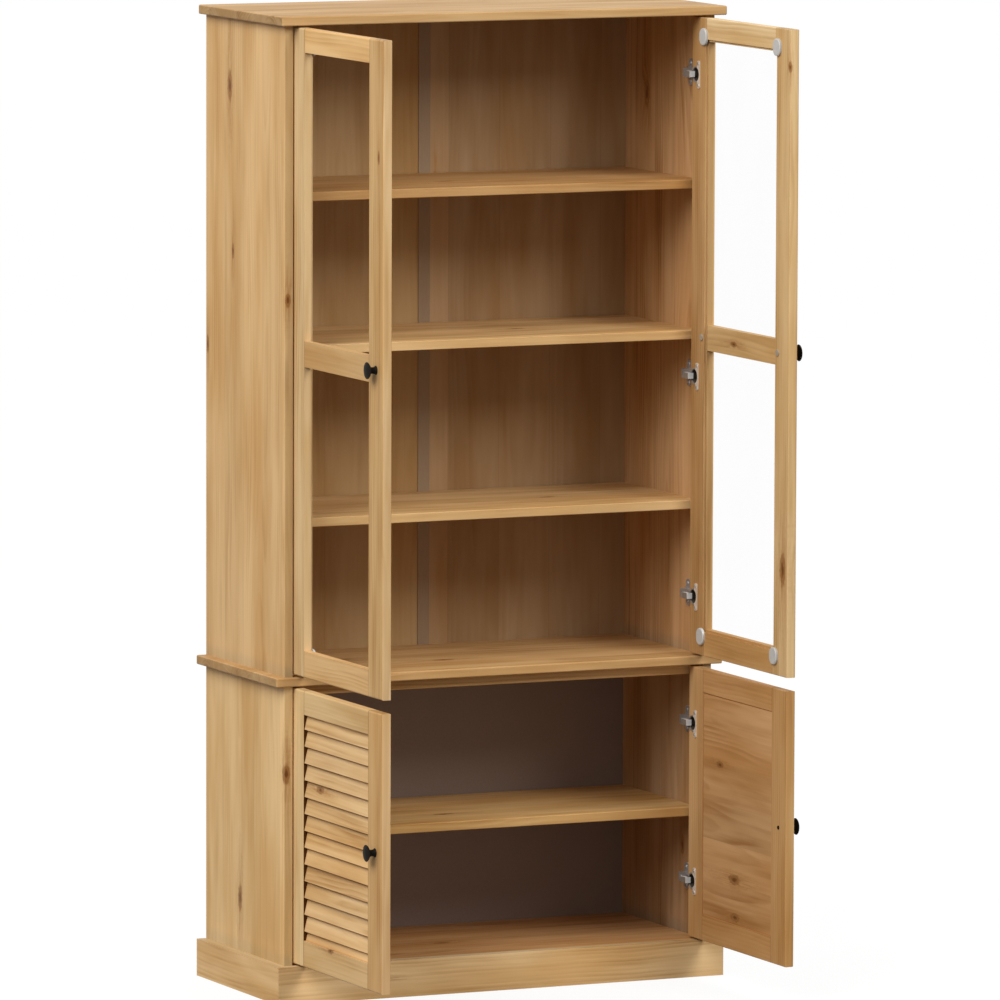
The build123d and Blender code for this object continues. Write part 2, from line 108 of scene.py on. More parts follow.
# Screws on the left-hand side, in metres: across, to the back, and then up, from the hinges
# or, for the knob's screw, from the floor
UPPER_HINGES = (0.669, 1.0549, 1.581)
LOWER_HINGES = (0.168, 0.446)
PLATE_SCREW = (-0.388, 0.068, 0.016)
CHANNEL_SCREWS = ((-0.374, 0.042), (-0.374, 0.060))
FLANGE_SCREW = (-0.3689, -0.0031, 0.019)
KNOB_SCREW = (-0.3705, -0.3344, 0.307)
PLATE_SCREW_RADIUS = 0.0034
CHANNEL_SCREW_RADIUS = 0.0028
FLANGE_SCREW_RADIUS = 0.003
KNOB_SCREW_RADIUS = 0.0035
SCREW_SIDES = 20
SCREW_RISE = 0.0012
SCREW_SEAT = 0.0003
# The rounding of the rim and the middle of the recess, in rises, and the recess's arms, in radii
SCREW_ROUND = 0.45
RECESS_MIDDLE = 0.6
RECESS_LENGTH = 1.15
RECESS_WIDTH = 0.3

# The cover on the hook of each hinge arm, on the left-hand side, outside the arm that it sits on
COVER_X = (-0.3660, -0.3608)
COVER_Y = (0.0147, 0.0335)
LIP_X = (-0.3712, -0.3655)
LIP_Y = (0.0147, 0.0152)
COVER_HALF_HEIGHT = 0.0052
COVER_ROUND = 0.0007

# Metal, and where its painted shade begins and ends: the mouth of the cups, then places from front
# to back
SATIN_NICKEL = (0.62, 0.61, 0.60)
CUP_NICKEL = (0.90, 0.80, 0.68)
# A pale, little metallic nickel that paints a highlight on the fronts of the hook covers
LIT_COVER_NICKEL = (0.96, 0.94, 0.91)
# Painted shade behind the wings of the cups and on the sides of the hook covers, and darker in the
# hollows of the cups and arms
PAINTED_SHADE_NICKEL = (0.25, 0.21, 0.17)
HOLLOW_SHADE_NICKEL = (0.095, 0.075, 0.055)
CUP_HOLLOW = 0.3702
WING_EDGE = 0.0019
ARM_TIP_END = 0.0195
CUP_END = 0.030

# Other finishes, each between two colours
HARDBOARD = ((0.180, 0.127, 0.098), (0.256, 0.187, 0.150))
STRIP_PLASTIC = ((0.300, 0.210, 0.132), (0.355, 0.254, 0.163))
KNOB_BLACK = ((0.006, 0.005, 0.004), (0.015, 0.012, 0.009))
MILKY_CLIP = ((0.50, 0.50, 0.48), (0.62, 0.62, 0.60))
CLEAR_BUTTON = ((0.30, 0.24, 0.17), (0.44, 0.38, 0.30))
GLASS_TINT = (0.04, 0.05, 0.045)

# Knots that the photograph shows: along the grain, across it, through the board or None where
# they go right through it, and radius
SEEN_KNOTS = {
    "upper_side_left": [
        (1.567, 0.248, None, 0.0085),
        (1.281, 0.234, None, 0.0045),
        (1.215, 0.009, -0.400, 0.004),
        (1.110, 0.346, None, 0.005),
    ],
    "lower_side_left": [(0.158, 0.202, None, 0.0075), (0.398, 0.009, -0.402, 0.0055)],
    "upper_side_right": [(1.533, 0.248, None, 0.0085)],
    "lower_side_right": [(0.2195, 0.088, None, 0.006)],
    "lower_shelf": [(-0.057, 0.119, None, 0.006)],
    "waist_board": [(-0.055, 0.124, None, 0.0065)],
    "upper_shelf_3": [(-0.038, 0.157, None, 0.006)],
    "floor_board": [(-0.052, 0.138, None, 0.005)],
    "upper_left_free_stile": [(1.483, -0.345, None, 0.004)],
    "upper_right_free_stile": [(0.754, -0.344, None, 0.0095), (1.617, -0.3605, 0.3705, 0.0032)],
    "upper_right_mid_rail": [(-0.138, 1.123, None, 0.004)],
    "lower_right_louvre_panel": [
        (-0.099, 0.386, None, 0.005),
        (-0.158, 0.192, None, 0.0075),
        (-0.162, 0.126, None, 0.006),
    ],
    "lower_left_louvre_panel": [(-0.091, 0.382, None, 0.005)],
    "lower_left_bottom_rail": [(-0.148, 0.112, None, 0.004)],
}
# The tints of single boards that differ from the rest
TINTS = {
    "upper_left_hinge_stile": (1.04, 1.14, 1.33),
    "upper_left_free_stile": (0.80, 0.79, 0.77),
    "upper_left_mid_rail": (0.87, 0.84, 0.81),
    "upper_left_bottom_rail": (0.98, 0.95, 0.93),
    "lower_left_hinge_stile": (1.06, 1.17, 1.32),
    "lower_left_free_stile": (0.88, 0.845, 0.81),
    "lower_left_top_rail": (1.03, 1.08, 1.14),
    "lower_left_louvre_panel": (1.09, 1.12, 1.20),
    "upper_side_left": (1.00, 0.99, 1.01),
    "lower_side_left": (1.12, 1.15, 1.20),
    "plinth_left": (1.20, 1.22, 1.28),
    "plinth_front": (1.24, 1.30, 1.44),
    "top_board": (0.81, 0.80, 0.81),
    "waist_board": (0.80, 0.77, 0.75),
    "upper_shelf_1": (0.93, 0.95, 0.99),
    "upper_shelf_2": (0.93, 0.93, 0.94),
    "upper_shelf_3": (0.78, 0.70, 0.63),
    "lower_shelf": (0.95, 0.93, 0.86),
    "floor_board": (0.80, 0.70, 0.67),
    "upper_back_left": (0.65, 0.65, 0.67),
    "upper_back_right": (0.59, 0.60, 0.71),
}
# Painted light and shade on the inner faces of right-hand boards: mostly darker and warmer than the
# outer faces, paler on the upper right door's free stile and top and middle rails
INSIDE_PAINTED_LIGHT_AND_SHADE = {
    "upper_right_hinge_stile": (0.73, 0.69, 0.67),
    "upper_right_free_stile": (0.99, 1.05, 1.15),
    "upper_right_top_rail": (1.20, 1.38, 1.70),
    "upper_right_mid_rail": (1.04, 1.08, 1.12),
    "upper_right_bottom_rail": (0.92, 0.87, 0.83),
    "lower_right_hinge_stile": (0.80, 0.755, 0.76),
    "lower_right_free_stile": (0.75, 0.67, 0.60),
    "lower_right_top_rail": (0.84, 0.76, 0.73),
    "lower_right_bottom_rail": (0.84, 0.76, 0.73),
    "lower_right_louvre_panel": (0.81, 0.73, 0.73),
    "upper_side_right": (0.79, 0.74, 0.80),
    "lower_side_right": (0.71, 0.69, 0.82),
}
NO_TINT = (1.0, 1.0, 1.0)
# Painted highlight on the left free stiles' front edges, painted shade on the sides' front edges
PAINTED_EDGE_HIGHLIGHT = (1.13, 1.25, 1.55)
PAINTED_EDGE_SHADE = (0.80, 0.86, 0.92)
EDGE_HIGHLIGHT_AND_SHADE = {
    "upper_left_free_stile": PAINTED_EDGE_HIGHLIGHT,
    "lower_left_free_stile": PAINTED_EDGE_HIGHLIGHT,
    "upper_side_left": PAINTED_EDGE_SHADE,
    "upper_side_right": PAINTED_EDGE_SHADE,
    "lower_side_left": PAINTED_EDGE_SHADE,
    "lower_side_right": PAINTED_EDGE_SHADE,
}
# Painted shade, cooler and darker, on the plinth's tops and on the sides just above the plinth and
# the waist, where bounced light would turn the wood orange
PAINTED_LEDGE_SHADE = (0.78, 0.87, 1.00)
LEDGE_REACH = 0.03
LEDGES = {"upper": 0.565, "lower": 0.065}
# Shares of a board's thickness between which the painted light and shade of an inner face ends
INSIDE_FADE = (0.75, 0.98)
PANEL_INSIDE_FADE = (0.15, 0.45)
# How squarely a face has to lie across an axis to count as facing it
FACES = (0.7, 0.95)
END_FACES = (0.75, 0.95)
X, Y, Z = 0, 1, 2


class Value:
    """One output of a node tree, whose arithmetic adds maths nodes."""

    def __init__(self, owner, socket):
        self.owner = owner
        self.socket = socket

    def maths(self, operation, first, second):
        return self.owner.add("ShaderNodeMath", {"operation": operation}, {0: first, 1: second})

    def __add__(self, other):
        return self.maths("ADD", self, other)

    def __radd__(self, other):
        return self.maths("ADD", other, self)

    def __sub__(self, other):
        return self.maths("SUBTRACT", self, other)

    def __rsub__(self, other):
        return self.maths("SUBTRACT", other, self)

    def __mul__(self, other):
        return self.maths("MULTIPLY", self, other)

    def __rmul__(self, other):
        return self.maths("MULTIPLY", other, self)

    def __truediv__(self, other):
        return self.maths("DIVIDE", self, other)

    def __pow__(self, other):
        return self.maths("POWER", self, other)

    def __abs__(self):
        return self.maths("ABSOLUTE", self, 0.0)

    def floor(self):
        return self.maths("FLOOR", self, 0.0)

    def part(self):
        """What is left above the whole number."""
        return self.maths("FRACT", self, 0.0)

    def at_most(self, other):
        return self.maths("MINIMUM", self, other)

    def at_least(self, other):
        return self.maths("MAXIMUM", self, other)

    def step(self, low, high):
        """A smooth rise from 0 at low to 1 at high."""
        return self.owner.add(
            "ShaderNodeMapRange",
            {"interpolation_type": "SMOOTHSTEP"},
            {"Value": self, "From Min": low, "From Max": high},
        )


class NodeTree:
    """The nodes of one material or world, which all come from one method."""

    def __init__(self, tree):
        self.tree = tree

    def add(self, kind, settings=None, inputs=None, outlet=0):
        """A node of one kind, its settings first and then its inputs. The answer is one outlet."""
        node = self.tree.nodes.new(kind)
        for name, value in (settings or {}).items():
            setattr(node, name, value)
        for name, value in (inputs or {}).items():
            self.feed(node.inputs[name], value)
        return Value(self, node.outputs[outlet])

    def feed(self, socket, value):
        if isinstance(value, Value):
            self.tree.links.new(value.socket, socket)
        elif socket.type == "RGBA" and len(value) == 3:
            socket.default_value = (*value, 1.0)
        else:
            socket.default_value = value

    def place(self):
        """The three object coordinates, in metres."""
        coordinates = self.add("ShaderNodeTexCoord", outlet="Object")
        return [
            self.add("ShaderNodeSeparateXYZ", None, {0: coordinates}, outlet=axis)
            for axis in range(3)
        ]

    def facing(self, axis):
        """How far the surface faces along one axis, either way."""
        normal = self.add("ShaderNodeTexCoord", outlet="Normal")
        return abs(self.add("ShaderNodeSeparateXYZ", None, {0: normal}, outlet=axis))

    def noise(self, x, y, z, detail=2.0, roughness=0.5):
        vector = self.add("ShaderNodeCombineXYZ", None, {0: x, 1: y, 2: z})
        inputs = {"Vector": vector, "Scale": 1.0, "Detail": detail, "Roughness": roughness}
        return self.add("ShaderNodeTexNoise", None, inputs)

    def chance(self, number):
        """A random number from 0 to 1 for each whole number."""
        settings = {"noise_dimensions": "1D"}
        return self.add("ShaderNodeTexWhiteNoise", settings, {"W": number}, outlet="Value")

    def blend(self, share, first, second, blend_type="MIX"):
        settings = {"data_type": "RGBA", "blend_type": blend_type, "clamp_factor": True}
        return self.add("ShaderNodeMix", settings, {0: share, 6: first, 7: second}, outlet=2)

    def tint(self, colour, other, share=1.0):
        """A colour multiplied by another one, in full or in part."""
        return self.blend(share, colour, other, "MULTIPLY")

    def shade(self, colour, amount):
        """A colour made lighter or darker by a varying amount."""
        grey = self.add("ShaderNodeCombineColor", None, {0: amount, 1: amount, 2: amount})
        return self.tint(colour, grey)

    def bump(self, height, distance, strength=1.0):
        inputs = {"Height": height, "Distance": distance, "Strength": strength}
        return self.add("ShaderNodeBump", None, inputs, outlet="Normal")


class Finish(NodeTree):
    """One material and its surface."""

    def __init__(self, name):
        self.material = bpy.data.materials.new(name)
        self.material.use_nodes = True
        super().__init__(self.material.node_tree)
        self.surface = self.tree.nodes["Principled BSDF"]

    def set(self, **inputs):
        """The inputs of the surface, named with underscores for spaces."""
        for name, value in inputs.items():
            self.feed(self.surface.inputs[name.replace("_", " ")], value)


# Wood. A number that multiplies a coordinate in a noise is its count of waves in a metre


class Board:
    """What one board's figure needs: the axes of its grain, its strips, its knots and its chance."""

    def __init__(self, node, grain, width, strip=None, contrast=1.0, knots=0, kind="plain"):
        self.node = node
        self.low, self.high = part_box(node)
        self.grain, self.width = grain, width
        self.depth = 3 - grain - width
        self.strip = strip
        self.contrast = contrast
        self.kind = kind
        self.chance = random.Random(node)
        self.knots = SEEN_KNOTS.get(node, []) + [self.chance_knot() for _ in range(knots)]

    def middle(self, axis):
        return (self.low[axis] + self.high[axis]) / 2

    def chance_knot(self):
        start, end = self.low[self.grain] + KNOT_MARGIN, self.high[self.grain] - KNOT_MARGIN
        along = self.chance.uniform(start, end)
        across = self.chance.uniform(self.low[self.width], self.high[self.width])
        return along, across, None, self.chance.uniform(*KNOT_RADII)

    def directions(self, place):
        """A point's coordinates along the grain, across it and through the board."""
        return place[self.grain], place[self.width], place[self.depth]


def knot_marks(finish, board, place, knot):
    """A point's distance from a knot's heart, in radii, and the strength of the feathered grain."""
    along, across, inward = board.directions(place)
    run_to, reach_to, depth_to, radius = knot
    ragged = finish.noise(along * 110.0, across * 260.0, board.chance.uniform(0.0, 9.0), 2.0) - 0.5
    run = (along - run_to) / (radius * KNOT_STRETCH)
    reach = (across - reach_to) / radius
    sideways = reach * reach
    if depth_to is not None:
        depth = (inward - depth_to) / radius
        sideways = sideways * 0.4 + depth * depth
    distance = (run * run + sideways) ** 0.5 + ragged * 0.9
    spread = (run * run * 0.12 + sideways) ** 0.5 + ragged * 1.4
    lines = finish.noise(along * 14.0, across * 420.0, inward * 420.0, 2.0).step(0.38, 0.60)
    return distance, (1.0 - spread.step(0.5, 2.6)) * (lines * 0.75 + 0.25)


def knotted(finish, colour, distance, feather):
    """A colour with a knot in it: feathered grain, brown wood, and a dark ring and heart."""
    colour = finish.blend(feather * 0.6, colour, KNOT_HALO)
    colour = finish.blend((1.0 - distance.step(0.6, 1.6)) * 0.85, colour, KNOT_HALO)
    ring = distance.step(0.55, 0.9) - distance.step(0.95, 1.35)
    heart = 1.0 - distance.step(0.2, 0.85)
    return finish.blend(heart.at_least(ring * 0.4) * 0.9, colour, KNOT_HEART)


def strips(finish, board, across):
    """The distance from the middle of a glued strip, and three random numbers of that strip."""
    if board.strip is None:
        return across - board.middle(board.width), [board.chance.random() for _ in range(3)]
    count = across / board.strip + board.chance.random()
    index = count.floor()
    seed = board.chance.randrange(1000)
    draws = [finish.chance(index + (seed + 0.37 * i)) for i in range(3)]
    return (count - index - 0.5) * board.strip, draws


def growth_rings(finish, board, place, off_middle, draws, seed):
    """The distance of a point from the pith of its tree, which wanders along the grain."""
    along, across, inward = board.directions(place)
    if board.strip is None:
        pith_side = board.chance.choice((-1, 1)) * (0.035 + 0.05 * draws[0])
        pith_depth = 0.01 + 0.03 * draws[1]
    else:
        pith_side = (draws[0] - 0.5) * (board.strip * 1.3)
        pith_depth = draws[1] * 0.05 + 0.018
    lift = finish.noise(along * 1.7 + seed, across * 2.0, draws[2] * 9.0 + seed, 1.0) - 0.5
    sway = finish.noise(along * 2.6 + seed, draws[0] * 7.0 + 3.0, seed, 1.0) - 0.5
    ripple = finish.noise(along * 9.0, across * 45.0, inward * 45.0 + seed, 2.0) - 0.5
    side = off_middle - pith_side + sway * 0.03
    depth = inward - board.middle(board.depth) + pith_depth + lift * 0.06
    return (side * side + depth * depth) ** 0.5 + ripple * 0.0035


def ring_lines(finish, radius, seed):
    """The dark late wood of rings of unlike width, each of its own strength."""
    count = radius / RING_SPACING + finish.noise(radius * 55.0, seed, 0.0, 2.0) * 1.3
    index = count.floor()
    ring = count - index
    return (ring.step(0.05, 0.8) - ring.step(0.84, 1.0)) * (finish.chance(index + seed) * 0.9 + 0.3)


def figured(finish, board, place, late, seed):
    """The colour of wood with its rings, streaks and clouds, and the height of its fibres."""
    along, across, inward = board.directions(place)
    fibre = finish.noise(along * 7.0 + seed, across * 420.0, inward * 420.0, 2.0, 0.6)
    streak = finish.noise(along * 2.0 + seed, across * 48.0, inward * 48.0, 3.0, 0.6)
    cloud = finish.noise(along * 2.4, across * 14.0 + seed, inward * 14.0, 3.0, 0.55)
    patch = finish.noise(along * 4.0 + seed, across * 22.0, inward * 22.0, 2.0).step(0.36, 0.72)
    rings = late * ((patch * 0.42 + 0.06) * board.contrast)
    streaks = streak.step(0.38, 0.72) * (patch * 0.3 + 0.25) * board.contrast
    colour = finish.blend(rings + (fibre - 0.5) * 0.1 + streaks, EARLY_WOOD, LATE_WOOD)
    warmth = finish.blend(cloud.step(0.32, 0.72), PALE_TINT, WARM_TINT)
    return finish.tint(colour, warmth), fibre


def tinted(finish, board, place, colour):
    """A colour with the tint of its board, and the painted highlight and shade of narrow edges,
    ledges and inner faces.
    """
    colour = finish.tint(colour, TINTS.get(board.node, NO_TINT))
    # Painted highlight and painted shade on narrow front edges
    if board.node in EDGE_HIGHLIGHT_AND_SHADE:
        colour = finish.tint(colour, EDGE_HIGHLIGHT_AND_SHADE[board.node], finish.facing(Y).step(*FACES))
    # Painted shade on the tops of the plinth, and on the sides just above a ledge
    if board.node.startswith("plinth"):
        colour = finish.tint(colour, PAINTED_LEDGE_SHADE, finish.facing(Z).step(*FACES))
    if board.kind == "side":
        above = place[Z] - LEDGES[board.node.split("_")[0]]
        colour = finish.tint(colour, PAINTED_LEDGE_SHADE, 1.0 - above.step(0.0, LEDGE_REACH))
    # Painted light and shade on an inner face, fading out through the board's thickness
    if board.node in INSIDE_PAINTED_LIGHT_AND_SHADE:
        inner, thickness = board.low[X], board.high[X] - board.low[X]
        begins, ends = PANEL_INSIDE_FADE if board.kind == "louvre" else INSIDE_FADE
        outward = place[X].step(inner + begins * thickness, inner + ends * thickness)
        colour = finish.tint(colour, INSIDE_PAINTED_LIGHT_AND_SHADE[board.node], 1.0 - outward)
    return colour


def pine(board):
    """Waxed pine with its own rings, fibres, strips and knots."""
    finish = Finish(f"pine_{board.node}")
    place = finish.place()
    seed = board.chance.uniform(0.0, 50.0)
    off_middle, draws = strips(finish, board, place[board.width])
    radius = growth_rings(finish, board, place, off_middle, draws, seed)
    marks = [knot_marks(finish, board, place, knot) for knot in board.knots]
    for (distance, _), (_, _, _, knot_radius) in zip(marks, board.knots):
        radius = radius + (1.0 - distance.step(0.4, 3.2)) * (knot_radius * 1.5)
    late = ring_lines(finish, radius, seed)
    colour, fibre = figured(finish, board, place, late, seed)
    colour = tinted(finish, board, place, colour)
    colour = finish.shade(colour, (draws[2] - 0.5) * STRIP_VARIETY + 1.0)
    for distance, feather in marks:
        colour = knotted(finish, colour, distance, feather)
    # Dark joints, and painted shade under the slats, beside them and along the edges of the panels
    dark = PAINTED_HOLLOW_SHADE if board.kind == "louvre" else JOINT_AND_PAINTED_SHADE
    colour = finish.tint(colour, dark, joints_and_painted_shade(board, place, off_middle))
    end_grain = finish.facing(board.grain).step(*END_FACES)
    colour = finish.shade(colour, 1.0 - end_grain * END_GRAIN_DARK)
    finish.set(
        Base_Color=colour,
        Roughness=late * 0.08 + (fibre - 0.5) * 0.16 + 0.46,
        Specular_IOR_Level=WOOD_SHINE,
        Normal=finish.bump(fibre * 0.7 + late * 0.3, 0.0002),
    )
    return finish.material


def joints_and_painted_shade(board, place, off_middle):
    """The dark of glue lines and of the shoulders of rails, and painted shade under the slats, in
    the recess beside them and along the edges of the louvred panels.
    """
    along, across, inward = board.directions(place)
    if board.kind == "rail":
        low, high = board.low[board.grain] + TENON, board.high[board.grain] - TENON
        from_shoulder = abs((along - low).at_most(high - along))
        return (1.0 - from_shoulder.step(0.0004, 0.0014)) * SHOULDER_DARK
    # Painted shade on the stile's edge, in the recess beside the ends of the slats
    if board.kind == "louvre_stile":
        inner = board.low[Y] if board.node.endswith("hinge_stile") else board.high[Y]
        outside = abs(inward).step(SLAT_ROOT, SLAT_ROOT + 0.002)
        return (1.0 - abs(across - inner).step(0.0002, 0.0008)) * outside
    # Painted shade under the nose of each slat, and along the panel's edges where the frame shades
    # it, darkest under the top rail
    if board.kind == "louvre":
        below_nose = ((SLAT_FOOT - across) / SLAT_PITCH + 40.0).part() * SLAT_PITCH
        outside = abs(inward).step(SLAT_ROOT, SLAT_ROOT + 0.002)
        hollow_shade = (1.0 - below_nose.step(0.0018, 0.0050)) * outside
        sides, head = from_frame(board, along, across)
        side_shade = (1.0 - sides.step(0.0005, 0.002)) * PANEL_SIDE_PAINTED_SHADE
        return hollow_shade + side_shade + (1.0 - head.step(0.0005, 0.0025)) * PANEL_HEAD_PAINTED_SHADE
    if board.strip is not None:
        half = board.strip / 2
        return abs(off_middle).step(half - 0.0011, half - 0.0003) * GLUE_LINE_DARK
    return 0.0


def from_frame(board, along, across):
    """How far a point of a panel is from the stiles and bottom rail, and from the top rail."""
    door = board.node.replace("louvre_panel", "")
    left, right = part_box(door + "free_stile")[1].y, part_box(door + "hinge_stile")[0].y
    foot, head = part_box(door + "bottom_rail")[1].z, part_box(door + "top_rail")[0].z
    from_stiles = (along - left).at_most(right - along)
    return abs(from_stiles.at_most(across - foot)), abs(head - across)


def dress(node, material):
    """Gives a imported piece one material."""
    nodes[node].data.materials.clear()
    nodes[node].data.materials.append(material)


def dress_board(node, grain, width, **rest):
    dress(node, pine(Board(node, grain, width, **rest)))


def dress_carcass():
    for side, (upper, lower) in SIDE_CONTRASTS.items():
        dress_board(f"upper_side_{side}", Z, Y, strip=SIDE_STRIP, contrast=upper, kind="side")
        dress_board(f"lower_side_{side}", Z, Y, strip=SIDE_STRIP, contrast=lower, kind="side")
        dress_board(f"plinth_{side}", Y, Z)
        dress_board(f"upper_back_{side}", Z, X, strip=BACK_STRIP, knots=1, contrast=BACK_CONTRAST)
    shelves = ["lower_shelf"] + [f"upper_shelf_{number}" for number in (1, 2, 3)]
    for node in ["top_board", "waist_board", "floor_board"] + shelves:
        dress_board(node, X, Y, strip=SHELF_STRIP, knots=1)
    dress_board("plinth_front", X, Z, knots=1)
    for node in ("plinth_rear", "apron_rail", "frame_dowels"):
        dress_board(node, X, Z)


def dress_doors():
    for section in ("upper", "lower"):
        for side in ("left", "right"):
            door = f"{section}_{side}_"
            # The stiles beside the slats take painted shade on their inner edges
            stile = "louvre_stile" if section == "lower" else "plain"
            dress_board(door + "hinge_stile", Z, Y, kind=stile)
            dress_board(door + "free_stile", Z, Y, kind=stile)
            dress_board(door + "top_rail", Y, Z, kind="rail")
            dress_board(door + "bottom_rail", Y, Z, kind="rail")
            if section == "upper":
                dress_board(door + "mid_rail", Y, Z, kind="rail")
            else:
                panel = {"strip": PANEL_STRIP, "kind": "louvre", "contrast": PANEL_CONTRAST}
                dress_board(door + "louvre_panel", Y, Z, **panel)


# Other finishes


def hardboard():
    """Plain brown board with a faint pressed mottle."""
    finish = Finish("brown_hardboard")
    x, y, z = finish.place()
    mottle = finish.noise(x * 260.0, y * 260.0, z * 260.0, 3.0)
    cloud = finish.noise(x * 5.0, y * 5.0, z * 5.0, 2.0)
    colour = finish.blend(mottle * 0.6 + cloud * 0.4, *HARDBOARD)
    finish.set(Base_Color=colour, Roughness=mottle * 0.15 + 0.5, Normal=finish.bump(mottle, 0.0002))
    return finish.material


def strip_plastic():
    """The plastic strip between the back panels, grey but brown in the cabinet's own light."""
    finish = Finish("grey_strip_plastic")
    x, y, z = finish.place()
    grain = finish.noise(x * 500.0, y * 500.0, z * 60.0, 2.0)
    colour = finish.blend(grain, *STRIP_PLASTIC)
    finish.set(
        Base_Color=colour,
        Roughness=grain * 0.12 + 0.42,
        Specular_IOR_Level=0.1,
        Normal=finish.bump(grain, 0.0001),
    )
    return finish.material


def pane_glass():
    """Clear glass, faint but for its reflections."""
    finish = Finish("pane_glass")
    x, y, z = finish.place()
    smear = finish.noise(x * 9.0, y * 9.0, z * 5.0, 2.0)
    finish.set(
        Base_Color=GLASS_TINT,
        Roughness=smear * 0.03 + 0.01,
        Specular_IOR_Level=0.12,
        Alpha=smear * 0.012 + 0.006,
    )
    return finish.material


def nickel(name, tone, shine, hollow_end=None, shade_behind=None, shade_sides=False):
    """Plated steel with a fine rolled texture, with painted shade in a hollow as far back as
    hollow_end, behind the wings and on faces turned sideways.
    """
    finish = Finish(name)
    x, y, z = finish.place()
    rolled = finish.noise(x * 900.0, y * 900.0, z * 120.0, 2.0)
    stain = finish.noise(x * 60.0, y * 60.0, z * 60.0, 2.0)
    colour = finish.blend(stain, [0.8 * part for part in tone], tone)
    # Painted shade behind the wings, where the arm shades the cup
    if shade_behind is not None:
        behind = y.step(shade_behind, shade_behind + 0.002)
        colour = finish.blend(behind * 0.8, colour, PAINTED_SHADE_NICKEL)
    # Painted shade on the faces turned sideways
    if shade_sides:
        colour = finish.blend(finish.facing(X).step(0.4, 0.8), colour, PAINTED_SHADE_NICKEL)
    # Painted shade in the hollow of a cup or arm
    if hollow_end is not None:
        inside = abs(x).step(CUP_HOLLOW, CUP_HOLLOW + 0.001)
        before_end = 1.0 - y.step(hollow_end, hollow_end + 0.001)
        colour = finish.blend(inside * before_end, colour, HOLLOW_SHADE_NICKEL)
    finish.set(
        Base_Color=colour,
        Metallic=shine,
        Roughness=rolled * 0.14 + stain * 0.1 + 0.26,
        Normal=finish.bump(rolled, 0.00004),
    )
    return finish.material


def knob_black():
    """Satin black, a little worn."""
    finish = Finish("satin_black")
    x, y, z = finish.place()
    speckle = finish.noise(x * 700.0, y * 700.0, z * 700.0, 3.0)
    colour = finish.blend(speckle, *KNOB_BLACK)
    finish.set(
        Base_Color=colour,
        Roughness=speckle * 0.2 + 0.42,
        Specular_IOR_Level=0.05,
        Normal=finish.bump(speckle, 0.00008),
    )
    return finish.material


def clip_plastic():
    """Milky moulded plastic, and the clearer buttons of the middle rail."""
    finish = Finish("milky_plastic")
    x, y, z = finish.place()
    cloud = finish.noise(x * 140.0, y * 140.0, z * 140.0, 2.0)
    milky = finish.blend(cloud, *MILKY_CLIP)
    clear = finish.blend(cloud, *CLEAR_BUTTON)
    low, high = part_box("upper_left_glass_clips")
    from_middle = abs(z - (low.z + high.z) / 2)
    finish.set(
        Base_Color=finish.blend(from_middle.step(0.02, 0.021), clear, milky),
        Roughness=cloud * 0.12 + 0.3,
        Normal=finish.bump(cloud, 0.00006),
    )
    return finish.material


def dress_fittings():
    metal = nickel("satin_nickel", SATIN_NICKEL, 0.7)
    # The arms and cups take painted shade in their hollows, the cups also behind their wings
    arm_metal = nickel("arm_nickel", SATIN_NICKEL, 0.7, hollow_end=ARM_TIP_END)
    cup_metal = nickel("cup_nickel", CUP_NICKEL, 0.3, hollow_end=CUP_END, shade_behind=WING_EDGE)
    # The hook covers: a painted highlight on their fronts and painted shade on their sides
    bright = nickel("cover_nickel", LIT_COVER_NICKEL, 0.15, shade_sides=True)
    black, glass, clip = knob_black(), pane_glass(), clip_plastic()
    dress("lower_back", hardboard())
    dress("back_joint_strip", strip_plastic())
    dress("hinge_arms", arm_metal)
    dress("hinge_plates", metal)
    for section in ("upper", "lower"):
        for side in ("left", "right"):
            dress(f"{section}_{side}_hinge_cups", cup_metal)
            dress(f"{section}_{side}_knob", black)
            if section == "upper":
                dress(f"{section}_{side}_glass", glass)
                dress(f"{section}_{side}_glass_clips", clip)
    return metal, bright, black


# Screws and hook covers


def screw_head(radius):
    """A cross-head screw with its axis up, its rim rounded and its recess cut."""
    bpy.ops.object.select_all(action="DESELECT")
    height = SCREW_RISE + SCREW_SEAT
    bpy.ops.mesh.primitive_cylinder_add(vertices=SCREW_SIDES, radius=radius, depth=height)
    head = bpy.context.object
    bpy.ops.object.mode_set(mode="EDIT")
    bpy.ops.mesh.select_all(action="DESELECT")
    bpy.ops.object.mode_set(mode="OBJECT")
    for face in head.data.polygons:
        face.select = face.normal.z > 0.9
    bpy.ops.object.mode_set(mode="EDIT")
    bpy.ops.mesh.bevel(offset=SCREW_RISE * SCREW_ROUND, segments=2, affect="EDGES")
    bpy.ops.object.mode_set(mode="OBJECT")
    length, width = radius * RECESS_LENGTH, radius * RECESS_WIDTH
    cutters = []
    for size in ((length, width), (width, length)):
        bpy.ops.mesh.primitive_cube_add(size=1.0, location=(0.0, 0.0, SCREW_RISE * RECESS_MIDDLE))
        cutters.append(bpy.context.object)
        cutters[-1].scale = (*size, SCREW_RISE)
    for cutter in cutters:
        cut = head.modifiers.new("recess", "BOOLEAN")
        cut.operation = "DIFFERENCE"
        cut.solver = "EXACT"
        cut.object = cutter
        apply_modifier(head, cut)
        bpy.data.objects.remove(cutter)
    head.data.transform(Matrix.Translation((0.0, 0.0, (SCREW_RISE - SCREW_SEAT) / 2)))
    head.location = (0.0, 0.0, 0.0)
    return head


